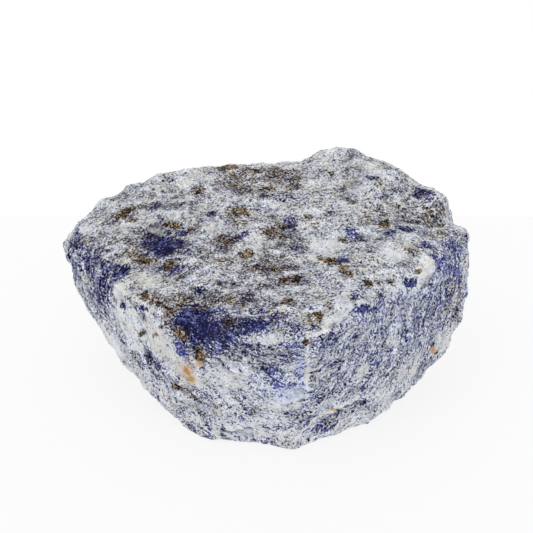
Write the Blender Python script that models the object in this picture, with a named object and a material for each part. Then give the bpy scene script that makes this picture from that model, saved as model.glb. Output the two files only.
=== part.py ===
"""A rough lapis lazuli stone: one broken piece of rock that rests on a small flat spot.

The stone is first an angular block, the hull of the corners between its broken faces. The block
is remeshed in small even faces and its edges are worn round. Then the forms that show from a step
away are pushed into it: the raised slab at the back, the hollow and dents of the top, the ledges
of the layered rock, and the uneven break of every face.

Lengths are in millimetres until the stone is centred: x runs to the right, y away from the
viewer, z up, and z = 0 is the flat spot.
"""
import math

import bmesh
import bpy
import numpy as np
from mathutils import Vector, noise

MM = 0.001

# Width of the whole stone, to which its shape is scaled at the end.
STONE_WIDTH = 60.0

# Corners of the block.
# The rim of the top starts at the left tip and runs round the back to the right and the front.
BACK_RIM = [
    (-29.6, 21.6, 22.0), (-27.2, 26.0, 23.0), (-24.4, 29.6, 23.4), (-21.0, 32.2, 24.0),
    (-15.6, 35.5, 24.5), (-10.0, 36.5, 24.9), (-3.3, 37.0, 25.0), (3.7, 37.3, 25.0),
    (12.3, 37.2, 25.9), (15.6, 35.4, 25.4), (20.6, 31.4, 24.3), (25.0, 28.0, 23.6),
    (27.4, 24.8, 23.4), (30.0, 19.8, 24.2),
]
FRONT_RIM = [
    (25.0, 13.4, 23.8), (20.5, 7.9, 23.2), (16.8, 5.0, 22.8), (12.8, 0.8, 22.3),
    (5.9, -3.7, 21.8), (-4.0, 1.0, 21.5), (-10.0, 2.3, 21.5), (-15.3, 2.6, 21.8),
    (-20.4, 6.9, 22.0), (-23.2, 10.6, 22.0), (-27.2, 19.0, 22.0),
]
# The girth below the rim, from the left tip round the front to the right, then the back.
GIRTH = [
    (-30.1, 20.2, 20.4), (-29.2, 19.0, 17.8), (-27.4, 15.8, 13.8), (-24.5, 12.4, 9.8),
    (-20.8, 9.0, 14.0), (-12.2, 0.8, 12.0), (6.1, -3.2, 9.8), (30.5, 18.6, 21.6),
    (30.5, 15.6, 15.0), (30.1, 14.6, 11.0), (28.6, 24.0, 13.0), (18.0, 34.0, 12.0),
    (6.0, 38.8, 13.0), (-8.0, 37.2, 12.0), (-20.0, 30.5, 10.0), (-27.5, 24.5, 13.0),
]
# The lower edge, where the sides turn under, and the underside, which z = 0 cuts flat.
LOWER_EDGE = [
    (-20.8, 8.9, 6.2), (-17.8, 6.0, 3.6), (-14.4, 3.6, 1.5), (-11.6, 2.2, 0.5),
    (11.6, 1.9, 0.3), (15.7, 3.4, 0.6), (20.3, 6.4, 1.9), (23.4, 8.8, 4.0), (27.6, 12.4, 7.2),
    (22.0, 18.0, 3.5), (15.0, 27.0, 3.0), (2.0, 32.0, 3.0), (-12.0, 28.0, 2.5), (-20.0, 19.0, 4.0),
]
REST_SPOT = [
    (-7.8, 1.6, -0.6), (3.2, -2.6, -0.6), (8.0, -0.2, -0.6), (11.5, 9.0, -0.6),
    (10.0, 20.0, -0.6), (2.0, 25.5, -0.6), (-8.0, 22.5, -0.6), (-11.0, 11.0, -0.6),
]

# Fineness of the mesh and wear of the edges.
FACE_SIZE = 1.45
EDGE_WEAR_ROUNDS = 2

# The slab that stands above the rest of the top, behind a line across it.
SLAB_LINE = [(2.6, 38.0), (10.8, 25.8), (28.5, 21.6)]
SLAB_HEIGHT = 2.6
SLAB_STEP_WIDTH = 6.5
SLAB_FOOT = 15.0
SLAB_FADE = 8.0

# Layers of the rock: they dip towards the viewer and are folded over from left to right.
LAYER_DIP = math.radians(60.0)
LAYER_FOLD = 0.0075
LEDGE_SPACING = 3.4
LEDGE_HEIGHT = 0.55
LEDGE_RISE_SHARE = 0.8
LEDGE_DRIFT = 1.1
LEDGE_DRIFT_SIZE = 9.0
LEDGE_PATCH_SIZE = 7.0
TOP_LEDGE_SHARE = 0.35

# Uneven break of the faces.
SWELL_SIZE = 11.0
SWELL_HEIGHT = 0.9
CHIP_SIZE = 3.6
CHIP_HEIGHT = 0.45
OCTAVES = 2

# Each pattern reads its own region of the noise.
DRIFT_OFFSET = Vector((3.1, 7.7, 1.9))
PATCH_OFFSET = Vector((-4.4, 2.2, 8.8))
SWELL_OFFSET = Vector((5.0, 1.0, -2.0))
CHIP_OFFSET = Vector((0.0, 9.0, 4.0))

# Hollows and lumps: centre, radius along x, y and z, and height (below nought for a hollow).
FORMS = {
    "hollow of the top": ((-15.3, 19.6, 22.8), (4.2, 2.9, 3.0), -1.9),
    "lip behind the hollow": ((-14.6, 23.6, 23.2), (4.6, 1.6, 3.0), 0.5),
    "left lobe of the front rim": ((11.2, 1.9, 21.6), (3.4, 3.4, 3.2), 0.6),
    "right lobe of the front rim": ((23.6, 12.6, 23.0), (3.2, 3.6, 3.0), 0.9),
    "dip of the left top": ((-20.8, 13.0, 22.4), (4.0, 3.2, 3.0), -0.6),
    "dip of the middle top": ((3.0, 17.0, 23.0), (7.5, 5.0, 4.0), -0.8),
    "swell of the right top": ((14.5, 13.0, 23.4), (6.5, 5.0, 4.0), 0.6),
    "scoop of the front face": ((-4.0, -0.2, 12.0), (6.5, 4.0, 5.0), -0.8),
    "groove of the left facet": ((-25.2, 13.6, 15.5), (2.0, 3.6, 6.5), -0.8),
    "bulge of the right face": ((20.0, 5.6, 12.5), (6.0, 5.0, 6.0), 0.8),
}

STONE_COLOUR = (0.36, 0.38, 0.47, 1.0)
STONE_ROUGHNESS = 0.78
SHARP_ANGLE = 50.0


def clear_scene():
    for thing in list(bpy.data.objects):
        bpy.data.objects.remove(thing, do_unlink=True)


def block_of_corners():
    """The hull of all corners, as triangles."""
    block = bmesh.new()
    for corner in BACK_RIM + FRONT_RIM + GIRTH + LOWER_EDGE + REST_SPOT:
        block.verts.new(corner)
    hull = bmesh.ops.convex_hull(block, input=block.verts, use_existing_faces=False)
    spare = [item for item in hull["geom_interior"] + hull["geom_unused"]
             if isinstance(item, bmesh.types.BMVert)]
    bmesh.ops.delete(block, geom=list(set(spare)), context="VERTS")
    bmesh.ops.triangulate(block, faces=block.faces)
    return block


def even_faces(block):
    """The block again, in small faces of one size, which the forms below need."""
    mesh = bpy.data.meshes.new("block")
    block.to_mesh(mesh)
    block.free()
    rough = bpy.data.objects.new("block", mesh)
    bpy.context.scene.collection.objects.link(rough)
    remesh = rough.modifiers.new("Remesh", "REMESH")
    remesh.mode = "VOXEL"
    remesh.voxel_size = FACE_SIZE
    even = bmesh.new()
    even.from_object(rough, bpy.context.evaluated_depsgraph_get())
    bpy.data.objects.remove(rough, do_unlink=True)
    bpy.data.meshes.remove(mesh)
    return even


def wear_edges(block):
    for _ in range(EDGE_WEAR_ROUNDS):
        bmesh.ops.smooth_vert(block, verts=block.verts, factor=0.5,
                              use_axis_x=True, use_axis_y=True, use_axis_z=True)


def smooth_step(value):
    """Nought below 0, one above 1, and an S-curve between."""
    value = min(max(value, 0.0), 1.0)
    return value * value * (3.0 - 2.0 * value)


def distance_behind_line(point):
    """How far a point of the top lies behind both stretches of the slab's line, from above."""
    distances = []
    for start, end in zip(SLAB_LINE, SLAB_LINE[1:]):
        along = Vector((end[0] - start[0], end[1] - start[1])).normalized()
        distances.append((point.y - start[1]) * along.x - (point.x - start[0]) * along.y)
    return min(distances)


def layer_height(point):
    """The place of a point across the folded layers."""
    across = -math.sin(LAYER_DIP) * point.y + math.cos(LAYER_DIP) * point.z
    return across - LAYER_FOLD * point.x ** 2


def ledges(point):
    """Worn steps, where the layers come out of the broken faces."""
    drift = LEDGE_DRIFT * noise.noise(point / LEDGE_DRIFT_SIZE + DRIFT_OFFSET)
    place = layer_height(point) / LEDGE_SPACING + drift
    ramp = place - math.floor(place)
    fall = (1.0 - ramp) * LEDGE_RISE_SHARE / (1.0 - LEDGE_RISE_SHARE)
    step = min(ramp, fall)
    strength = 0.5 + noise.noise(point / LEDGE_PATCH_SIZE + PATCH_OFFSET)
    return LEDGE_HEIGHT * max(strength, 0.0) * (step - LEDGE_RISE_SHARE / 2.0)


def uneven_break(point):
    swell = noise.fractal(point / SWELL_SIZE + SWELL_OFFSET, 1.0, 2.0, OCTAVES)
    chip = noise.fractal(point / CHIP_SIZE + CHIP_OFFSET, 0.8, 2.1, OCTAVES)
    return SWELL_HEIGHT * swell + CHIP_HEIGHT * chip


def form_height(point):
    total = 0.0
    for centre, radius, height in FORMS.values():
        away = sum(((point[i] - centre[i]) / radius[i]) ** 2 for i in range(3))
        total += height * math.exp(-away)
    return total


def shape_faces(block):
    """Moves every point along its normal by the forms of its place, and lifts the slab."""
    block.normal_update()
    places = []
    for vertex in block.verts:
        point = vertex.co
        facing_up = smooth_step((vertex.normal.z - 0.2) / 0.5)
        ledge_share = 1.0 - (1.0 - TOP_LEDGE_SHARE) * facing_up
        push = form_height(point) + ledge_share * ledges(point) + uneven_break(point)
        place = point + vertex.normal * push
        behind = smooth_step(distance_behind_line(point) / SLAB_STEP_WIDTH)
        high = smooth_step((place.z - SLAB_FOOT) / SLAB_FADE)
        place.z += SLAB_HEIGHT * behind * high
        places.append(place)
    for vertex, place in zip(block.verts, places):
        vertex.co = place


def seat(block):
    """Flattens what reaches below the level that the stone stands on."""
    for vertex in block.verts:
        vertex.co.z = max(vertex.co.z, 0.0)


def centre(block):
    """Puts the middle of the stone's box over the origin, at its real width in metres."""
    places = np.array([vertex.co[:] for vertex in block.verts])
    low = places.min(axis=0)
    high = places.max(axis=0)
    middle = Vector(((low[0] + high[0]) / 2, (low[1] + high[1]) / 2, low[2]))
    scale = STONE_WIDTH / (high[0] - low[0]) * MM
    for vertex in block.verts:
        vertex.co = (vertex.co - middle) * scale


def stone_material():
    """Broken lapis rock: pale matrix with blue grains, dull all over."""
    material = bpy.data.materials.new("lapis_rock")
    material.use_nodes = True
    shader = material.node_tree.nodes["Principled BSDF"]
    shader.inputs["Base Color"].default_value = STONE_COLOUR
    shader.inputs["Roughness"].default_value = STONE_ROUGHNESS
    shader.inputs["Metallic"].default_value = 0.0
    return material


def make_stone():
    block = even_faces(block_of_corners())
    wear_edges(block)
    shape_faces(block)
    seat(block)
    centre(block)
    bmesh.ops.recalc_face_normals(block, faces=block.faces)
    mesh = bpy.data.meshes.new("lapis_stone")
    block.to_mesh(mesh)
    block.free()
    mesh.shade_smooth()
    mesh.set_sharp_from_angle(angle=math.radians(SHARP_ANGLE))
    mesh.materials.append(stone_material())
    stone = bpy.data.objects.new("lapis_stone", mesh)
    bpy.context.scene.collection.objects.link(stone)
    return stone


clear_scene()
make_stone()
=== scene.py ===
# %% [markdown]
# # A rough lapis lazuli stone
#
# Lapis lazuli is a rock, not one mineral. The blue grains are lazurite, the white and grey ones
# are mostly calcite, and the brown ones are pyrite that has weathered. This stone is about half
# calcite, so from a step away it looks like a pale rock with a blue and brown pepper in it.
#
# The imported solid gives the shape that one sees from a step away. This script gives the rest:
# the fine broken relief, the grains and their colours, a pale floor, soft light and the camera.
# Lengths are in millimetres where nothing else is said. They are turned to metres as they reach
# the camera, the lamp and the finished mesh.

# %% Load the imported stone
import math

import bpy
import numpy as np
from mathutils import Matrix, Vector, noise
from mathutils.bvhtree import BVHTree


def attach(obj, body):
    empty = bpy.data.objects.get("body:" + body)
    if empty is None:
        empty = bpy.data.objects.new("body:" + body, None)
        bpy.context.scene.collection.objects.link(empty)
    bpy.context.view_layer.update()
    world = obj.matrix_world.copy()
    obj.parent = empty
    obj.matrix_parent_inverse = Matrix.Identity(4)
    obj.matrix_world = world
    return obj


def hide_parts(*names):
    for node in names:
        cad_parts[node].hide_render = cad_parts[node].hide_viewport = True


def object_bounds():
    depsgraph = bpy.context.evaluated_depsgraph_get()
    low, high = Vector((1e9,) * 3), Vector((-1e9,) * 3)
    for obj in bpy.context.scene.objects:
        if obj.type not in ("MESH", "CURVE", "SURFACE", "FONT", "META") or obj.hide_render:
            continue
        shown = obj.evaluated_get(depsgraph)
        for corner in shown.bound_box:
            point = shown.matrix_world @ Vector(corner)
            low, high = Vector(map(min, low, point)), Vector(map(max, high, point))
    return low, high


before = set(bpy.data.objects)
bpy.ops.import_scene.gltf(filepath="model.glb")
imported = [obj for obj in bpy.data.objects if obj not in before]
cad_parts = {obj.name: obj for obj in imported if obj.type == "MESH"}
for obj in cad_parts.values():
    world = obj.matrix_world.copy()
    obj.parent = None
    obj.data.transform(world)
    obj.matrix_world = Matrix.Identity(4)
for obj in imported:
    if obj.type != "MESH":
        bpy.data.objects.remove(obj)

MM = 0.001
cad_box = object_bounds()
low, high = (Vector(corner) / MM for corner in cad_box)
print("box of the packed stone, mm:", [round(value, 1) for value in (*low, *high)])

# %% [markdown]
# ## The camera
#
# The marks of the stone are placed by where they show in the photograph, so the camera comes
# first. A long lens from in front and above keeps the perspective mild. The picture is square,
# 533 pixels on a side.

# %% Camera
PICTURE = 533
LENS = 120.0
SENSOR = 36.0
CAMERA_RISE = math.radians(35.0)
CAMERA_DISTANCE = 263.0
AIM = Vector((0.0, 0.0, 18.7))

to_camera = Vector((0.0, -math.cos(CAMERA_RISE), math.sin(CAMERA_RISE)))
camera_data = bpy.data.cameras.new("photo_view")
camera_data.lens = LENS
camera_data.sensor_width = SENSOR
camera_data.clip_start = 0.01
camera = bpy.data.objects.new("photo_view", camera_data)
camera.location = (AIM + to_camera * CAMERA_DISTANCE) * MM
camera.rotation_euler = to_camera.to_track_quat("Z", "Y").to_euler()
bpy.context.scene.collection.objects.link(camera)
bpy.context.scene.camera = camera
print("camera at, m:", [round(value, 3) for value in camera.location])

# %% [markdown]
# Two small functions link the picture and the stone. One gives the line of sight through a
# pixel, the other tells where a place on the stone shows. They work like the camera itself:
# what is twice as far away shows half as large.

# %% From pixels to lines of sight and back
eye = AIM + to_camera * CAMERA_DISTANCE
picture_right = Vector((1.0, 0.0, 0.0))
picture_up = to_camera.cross(picture_right)


def sight(across, down):
    """The direction of the camera's line of sight through a pixel of the picture."""
    reach = SENSOR / LENS / PICTURE
    right = (across - PICTURE / 2) * reach
    up = (PICTURE / 2 - down) * reach
    return (picture_right * right + picture_up * up - to_camera).normalized()


def pixels_of(places):
    """Where places in millimetres show in the picture: pixels across and down."""
    from_eye = places - np.array(eye)
    depth = from_eye @ -np.array(to_camera)
    scale = PICTURE * LENS / SENSOR / depth
    return (PICTURE / 2 + from_eye @ np.array(picture_right) * scale,
            PICTURE / 2 - from_eye @ np.array(picture_up) * scale)


print("middle of the picture looks along:", [round(share, 2) for share in
                                             sight(PICTURE / 2, PICTURE / 2)])

# %% [markdown]
# ## The stone's mesh
#
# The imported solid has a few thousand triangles, far too few for broken rock, and subdividing it
# would keep them in sight. Remeshing it with small voxels gives even little faces, about as wide
# as a grain of the rock, and some rounds of smoothing wipe off the old triangles.

# %% Fine, even mesh
FACE_SIZE = 0.31
WELD_DISTANCE = 0.0001
SMOOTHING = 0.5
SMOOTHING_ROUNDS = 6


def fine_copy(node):
    """The node's mesh again, in millimetres, with small even faces."""
    rough = bpy.data.objects.new("rough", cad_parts[node].data.copy())
    rough.data.transform(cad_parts[node].matrix_world)
    rough.data.transform(((1 / MM, 0, 0, 0), (0, 1 / MM, 0, 0), (0, 0, 1 / MM, 0), (0, 0, 0, 1)))
    bpy.context.scene.collection.objects.link(rough)
    weld = rough.modifiers.new("Weld", "WELD")
    weld.merge_threshold = WELD_DISTANCE
    remesh = rough.modifiers.new("Remesh", "REMESH")
    remesh.mode = "VOXEL"
    remesh.voxel_size = FACE_SIZE
    smooth = rough.modifiers.new("Smooth", "SMOOTH")
    smooth.factor = SMOOTHING
    smooth.iterations = SMOOTHING_ROUNDS
    fine = bpy.data.meshes.new_from_object(
        rough.evaluated_get(bpy.context.evaluated_depsgraph_get()))
    bpy.data.objects.remove(rough, do_unlink=True)
    return fine


def read_vertices(mesh, measure):
    """A measure of every vertex, such as its place, as rows of three numbers."""
    values = np.empty(len(mesh.vertices) * 3)
    mesh.vertices.foreach_get(measure, values)
    return values.reshape(-1, 3)


stone_mesh = fine_copy("lapis_stone")
points = read_vertices(stone_mesh, "co")
normals = read_vertices(stone_mesh, "normal")
surface = BVHTree.FromPolygons([Vector(point) for point in points],
                               [face.vertices[:] for face in stone_mesh.polygons])
print("faces of the fine mesh:", len(stone_mesh.polygons))

# %% [markdown]
# Two helpers serve nearly every step from here on. One is an S-curve, which lets a form begin
# and end softly. The other is noise of a given size. Each use of it has its own seed, which
# reads another region of the same endless pattern. A third only prints a range of values.

# %% S-curve and noise
SEED_STEPS = (17.3, -9.1, 5.7)
OCTAVE_FADE = 0.9
OCTAVE_STEP = 2.1


def s_curve(values, start, end):
    """Nought at start, one at end, and an S-curve between, for whole arrays."""
    share = np.clip((values - start) / (end - start), 0.0, 1.0)
    return share * share * (3.0 - 2.0 * share)


def noise_at(places, size, seed, octaves=1, kind="PERLIN_ORIGINAL"):
    """Noise of features about size millimetres wide, at every place."""
    shift = Vector([seed * step for step in SEED_STEPS])
    if octaves == 1:
        return np.array([noise.noise(Vector(place) / size + shift, noise_basis=kind)
                         for place in places])
    return np.array([noise.fractal(Vector(place) / size + shift, OCTAVE_FADE, OCTAVE_STEP,
                                   octaves, noise_basis=kind) for place in places])


def tell(what, values):
    """Prints the lowest and the highest of many values."""
    print(what, round(float(np.min(values)), 2), "to", round(float(np.max(values)), 2))


print("S-curve at a quarter of its way:", round(float(s_curve(0.25, 0.0, 1.0)), 3))

# %% [markdown]
# ## The layers
#
# The rock grew in layers under pressure. They dip towards the viewer at about 60 degrees and are
# gently folded, so they come out as level lines on the top, as steep lines on the left side, and
# as slanting lines on the right. One folded measure across the layers explains them all. It is
# kept on the mesh, together with the two directions along the layers, and both the ledges and
# the streaks of colour follow it.

# %% Measure across the layers
LAYER_DIP = math.radians(60.0)
LAYER_FOLD = 0.0075


def in_layers(places):
    """Places along and across the folded layers: two measures along, and one across."""
    x, y, z = places.T
    down = y * math.cos(LAYER_DIP) + z * math.sin(LAYER_DIP)
    across = -y * math.sin(LAYER_DIP) + z * math.cos(LAYER_DIP) - LAYER_FOLD * x * x
    return np.stack([x, down, across], axis=1)


layered = in_layers(points)
depth_of_layers = layered[:, 2]
tell("layers across the stone, mm:", depth_of_layers)

# %% [markdown]
# ## Outline of the photographed side
#
# The solid follows the outline of the photograph to about a millimetre. A few soft pushes bring
# the dressed stone closer. Each has its pixel on the outline, its reach and its push in
# millimetres, outwards if above nought. A lattice or sculpting could do the same, but a list
# stays readable and can be run again. Near the floor nothing moves up or down, so that the
# stone keeps its flat spot.

# %% Pushes of the outline
PUSHES = [
    (112, 352, 8.0, -0.8), (135, 378, 5.0, -0.6), (262, 449, 6.0, -1.2), (200, 438, 6.0, 0.8),
    (69, 272, 4.0, -0.5), (82, 301, 2.0, -0.6), (100, 200, 3.0, 0.1), (128, 186, 2.5, 0.7),
    (461, 341, 4.0, -0.4), (400, 414, 4.0, -0.15), (146, 398, 4.0, -0.5), (456, 217, 3.0, -1.1),
    (318, 153, 3.0, 0.4), (402, 167, 4.0, -0.5), (66, 246, 3.0, -0.3), (203, 163, 5.0, -0.5),
    (305, 156, 4.0, -0.5), (420, 174, 4.0, -0.5), (445, 200, 5.0, 0.7), (466, 233, 3.0, 0.3),
    (469, 300, 6.0, 0.4), (462, 325, 4.0, 0.4), (168, 412, 5.0, -0.2), (350, 148, 4.0, 0.3),
    (290, 449, 4.0, 0.3), (97, 327, 5.0, 0.45), (452, 357, 5.0, 0.5), (139, 172, 3.0, -0.4),
    (293, 153, 3.0, -0.3),
]
FACING_COST = 40.0
FLOOR_FADE = (0.1, 1.2)


def push_outline(across, down, reach, push):
    """Moves the edge of the outline at a pixel outwards, and its neighbours less."""
    shown_across, shown_down = pixels_of(points)
    towards = points - np.array(eye)
    towards /= np.linalg.norm(towards, axis=1)[:, None]
    facing = (normals * towards).sum(axis=1)
    away = np.hypot(shown_across - across, shown_down - down) + FACING_COST * np.abs(facing)
    nearest = int(away.argmin())
    outwards = normals[nearest] - facing[nearest] * towards[nearest]
    outwards /= np.linalg.norm(outwards)
    distance = np.linalg.norm(points - points[nearest], axis=1)
    return (push * (1.0 - s_curve(distance / reach, 0.0, 1.0)))[:, None] * outwards


on_floor = s_curve(points[:, 2], *FLOOR_FADE)
outline_move = sum(push_outline(*push) for push in PUSHES)
outline_move[:, 2] *= on_floor
print("outline moves up to, mm:", round(float(np.linalg.norm(outline_move, axis=1).max()), 2))

# %% [markdown]
# ## Steps of the break
#
# Some small steps of the break are so clear in the photograph that noise can't stand in for
# them: the wall of the hollow, the edges of two smooth lobes, the split above the lower right
# chunk. Each is a line of pixels, a drop and a reach in millimetres. The surface drops on the
# right of the line (on its left if the drop is below nought) and climbs back after it.

# %% Steps
STEPS = [
    ([(144, 233), (150, 225), (160, 220), (172, 219), (186, 224)], 0.7, 3.5),
    ([(320, 333), (338, 327), (352, 316), (357, 303), (355, 286)], -0.5, 3.0),
    ([(414, 294), (430, 286), (440, 272), (439, 254)], -0.5, 3.0),
    ([(160, 312), (170, 328), (178, 348), (188, 366)], -0.6, 4.0),
    ([(143, 343), (155, 362), (170, 380), (190, 392)], 0.6, 3.0),
    ([(292, 443), (306, 430), (320, 419), (348, 405), (375, 397)], 0.7, 4.5),
    ([(306, 338), (308, 370), (306, 400), (290, 440)], 0.3, 4.0),
    ([(377, 199), (405, 208), (430, 214), (452, 219)], 0.4, 3.0),
    ([(365, 226), (395, 222), (425, 226), (460, 231)], -0.35, 2.5),
    ([(178, 386), (188, 394), (203, 402)], 0.35, 1.2),
    ([(316, 328), (318, 312), (330, 300)], 0.25, 2.0),
    ([(108, 262), (111, 285), (128, 296)], 0.3, 2.5),
]
STEP_WIDTH = 0.8
END_FADE = 2.5
LINE_SPACING = 0.4
LEVEL_SHARE = 0.3


def line_on_stone(pixels):
    """Points every few tenths of a millimetre along a line of pixels, laid on the stone."""
    corners = [surface.ray_cast(eye, sight(*pixel))[0] for pixel in pixels]
    corners = [corner for corner in corners if corner is not None]
    line = []
    for start, end in zip(corners, corners[1:]):
        count = max(2, int((end - start).length / LINE_SPACING))
        line += [start.lerp(end, index / count) for index in range(count)]
    return np.array(line + [corners[-1]])


def beside_line(pixels):
    """For every point: its distance from the line, with its side, and a fade at both ends."""
    line = line_on_stone(pixels)
    along = np.gradient(line, axis=0)
    along /= np.linalg.norm(along, axis=1)[:, None]
    apart = points[:, None, :] - line[None, :, :]
    nearest = (apart ** 2).sum(axis=2).argmin(axis=1)
    offset = points - line[nearest]
    right = np.cross(along[nearest], normals)
    side = (offset * right).sum(axis=1)
    far = np.linalg.norm(offset, axis=1)
    length = np.linalg.norm(np.diff(line, axis=0), axis=1).sum()
    walked = nearest / (len(line) - 1) * length
    fade = min(END_FADE, length / 3)
    ends = s_curve(walked, 0.0, fade) * (1.0 - s_curve(walked, length - fade, length))
    return np.where(side < 0, -far, far), ends


def step_relief(pixels, drop, reach):
    """The relief of one step: a cliff at the line, a level stretch, and a slow climb back."""
    side, ends = beside_line(pixels)
    side = side * math.copysign(1.0, drop)
    cliff = s_curve(side, -0.5 * STEP_WIDTH, 0.5 * STEP_WIDTH)
    back = 1.0 - s_curve(side, LEVEL_SHARE * reach, reach)
    return -abs(drop) * cliff * back * ends


steps = sum(step_relief(*step) for step in STEPS)
tell("steps, mm:", steps)

# %% [markdown]
# ## Ledges
#
# Where the layers end at a broken face they leave low ledges, a slow rise and then a quick
# fall. A sawtooth of the measure across the layers gives that, and noise makes the ledges
# wander and die out in places. The top has weathered, so its ledges are worn low.

# %% Ledges
LEDGE_SPACING = 1.7
LEDGE_HEIGHT = 0.22
LEDGE_FALL = 4.0
LEDGE_MIDDLE = 0.4
LEDGE_DRIFT_SIZE = 6.0
LEDGE_PATCH_SIZE = 5.0
LEDGE_PATCHES = (-0.35, 0.45)
TOP_LEDGE_WEAR = 0.7
FACING_UP = (0.25, 0.75)


def ledge_relief():
    """Worn steps: a slow rise and a quick fall across each layer."""
    drift = noise_at(points, LEDGE_DRIFT_SIZE, seed=1, octaves=2)
    place = depth_of_layers / LEDGE_SPACING + drift
    ramp = place - np.floor(place)
    step = np.minimum(ramp, (1.0 - ramp) * LEDGE_FALL) - LEDGE_MIDDLE
    strength = s_curve(noise_at(points, LEDGE_PATCH_SIZE, seed=2), *LEDGE_PATCHES)
    return LEDGE_HEIGHT * strength * step


facing_up = s_curve(normals[:, 2], *FACING_UP)
ledge = ledge_relief() * (1.0 - TOP_LEDGE_WEAR * facing_up)
tell("ledges, mm:", ledge)

# %% [markdown]
# ## Flakes
#
# A blow breaks such rock in small flat chips. Each cell of a Voronoi pattern becomes one of
# them, a plane that is tilted its own way. Left alone the planes would meet in saw teeth, so each
# fades out towards the border of its cell. The pattern is squeezed across the layers, because the
# rock splits along them.

# %% Flakes
FLAKE_SIZE = 3.2
FLAKE_SLOPE = 0.23
FLAKE_BORDER = 4.0
FLAKE_SPREAD = 7.3
TOP_FLAKE_WEAR = 0.6
SQUEEZE = (1.0, 1.0, 1.8)

squeezed = layered * SQUEEZE


def flake_relief():
    """Small flat chips, each tilted its own way, which fade out at their borders."""
    heights = np.empty(len(points))
    for index, place in enumerate(squeezed / FLAKE_SIZE):
        distances, centres = noise.voronoi(place)
        tilt = noise.cell_vector(centres[0] * FLAKE_SPREAD) * 2.0 - Vector((1.0, 1.0, 1.0))
        inside = min(1.0, FLAKE_BORDER * (distances[1] - distances[0]))
        heights[index] = inside * (Vector(place) - centres[0]).dot(tilt)
    return FLAKE_SLOPE * FLAKE_SIZE * heights


flake = flake_relief() * (1.0 - TOP_FLAKE_WEAR * facing_up)
tell("flakes, mm:", flake)

# %% [markdown]
# ## Chips, sugary grain and pits
#
# Between the flakes the break is uneven at every size, which a few octaves of noise give.
# Calcite breaks into small blunt grains, like lump sugar: rounded Voronoi cells. On the
# weathered top some soft grains have fallen out and left pits.

# %% Chips, grain and pits
CHIP_SIZE = 1.8
CHIP_HEIGHT = 0.2
GRAIN_SIZE = 0.7
GRAIN_HEIGHT = 0.09
PIT_SPACING = 1.9
PIT_DEPTH = 0.28
PIT_WALL = (-0.85, -0.55)
PIT_PATCH_SIZE = 4.0
PIT_PATCHES = (0.0, 0.35)

chip = CHIP_HEIGHT * noise_at(squeezed, CHIP_SIZE, seed=3, octaves=3)
grain = GRAIN_HEIGHT * (0.5 - noise_at(squeezed, GRAIN_SIZE, seed=4, kind="VORONOI_F1"))
pit_distance = noise_at(points, PIT_SPACING, seed=5, kind="VORONOI_F1")
pit_share = s_curve(noise_at(points, PIT_PATCH_SIZE, seed=6), *PIT_PATCHES)
pit = -PIT_DEPTH * (1.0 - s_curve(pit_distance, *PIT_WALL)) * pit_share * facing_up
relief = (ledge + flake + chip + grain + pit + steps) * on_floor
tell("chips, mm:", chip)
tell("grain, mm:", grain)
tell("pits, mm:", pit)
tell("relief, mm:", relief)

# %% [markdown]
# ## Marks of colour
#
# Each kind of grain is thick in some places of the rock and thin in others. Noise alone would put
# the thick places anywhere, and a painted image would fit one side only. So the thick places are
# listed: the pixel of the middle, half the width and half the height in pixels, the tilt in
# degrees (above nought rises to the right), and how thick the grains are, from 0 to 1. A line of
# sight through the middle finds the spot on the stone, where the mark is laid on the surface as a
# patch of its real size, so that it also looks right from the side. Fine noise loosens its border,
# that of a thin mark less.

# %% Laying a mark
WARP_SIZE = 1.4
WARP = 0.55
LOOSE_FROM = 6.0
LEAST_LOOSE = 0.3
NORMAL_REACH = 1.2
LEAST_DEPTH = 1.0
MARK_CORE = 0.4
MARK_END = 1.4

warp = np.stack([noise_at(points, WARP_SIZE, seed, octaves=2) for seed in (11, 12, 13)], axis=1)


def on_plane(across, down, centre, normal):
    """Where the line of sight through a pixel meets the plane at a point of the stone."""
    line = sight(across, down)
    return eye + line * ((centre - eye).dot(normal) / line.dot(normal))


def laid_mark(across, down, half_width, half_height, tilt):
    """How much of a mark reaches each point: one in its middle, nought well outside."""
    centre = surface.ray_cast(eye, sight(across, down))[0]
    if centre is None:
        print("a mark misses the stone:", across, down)
        return np.zeros(len(points))
    near = ((points - np.array(centre)) ** 2).sum(axis=1) < NORMAL_REACH ** 2
    normal = Vector(normals[near].mean(axis=0)).normalized()
    turn = math.radians(tilt)
    wide = on_plane(across + half_width * math.cos(turn), down - half_width * math.sin(turn),
                    centre, normal) - centre
    high = on_plane(across - half_height * math.sin(turn), down - half_height * math.cos(turn),
                    centre, normal) - centre
    reach = max(wide.length, high.length, LEAST_DEPTH)
    into_mark = np.linalg.inv(np.array([wide, high, normal * reach]).T)
    loose = WARP * min(1.0, max(LEAST_LOOSE, half_height / LOOSE_FROM))
    inside = (points + loose * warp - np.array(centre)) @ into_mark.T
    return 1.0 - s_curve(np.linalg.norm(inside, axis=1), MARK_CORE, MARK_END)


def marked(marks, ground):
    """The ground thickness of a kind of grain, raised towards each mark's own."""
    thickness = ground.copy()
    for *place, amount in marks:
        share = laid_mark(*place)
        thickness = thickness + share * np.maximum(amount - thickness, 0.0)
    return thickness


print("borders of the marks wander by, mm:", round(WARP * float(np.abs(warp).max()), 2))

# %% [markdown]
# ## Sides that the photograph doesn't show
#
# The back and the underside are broken faces of the same rock. Wide soft noise takes the place of
# the marks there. Where one gives way to the other is fixed on the stone, by how far each face is
# turned away from the photographed side.

# %% Photographed and other sides
TURNED_AWAY = (-0.2, 0.15)
BAND_SQUEEZE = (1.0, 1.0, 2.2)

seen = s_curve(normals @ np.array(to_camera), *TURNED_AWAY)
hidden = 1.0 - seen
banded = layered * BAND_SQUEEZE


def patches(size, seed, octaves, border):
    """Soft patches of a kind of grain, drawn out to bands along the layers."""
    return s_curve(noise_at(banded, size, seed, octaves), *border)


print("share of the photographed side:", round(float(seen.mean()), 2))

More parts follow.
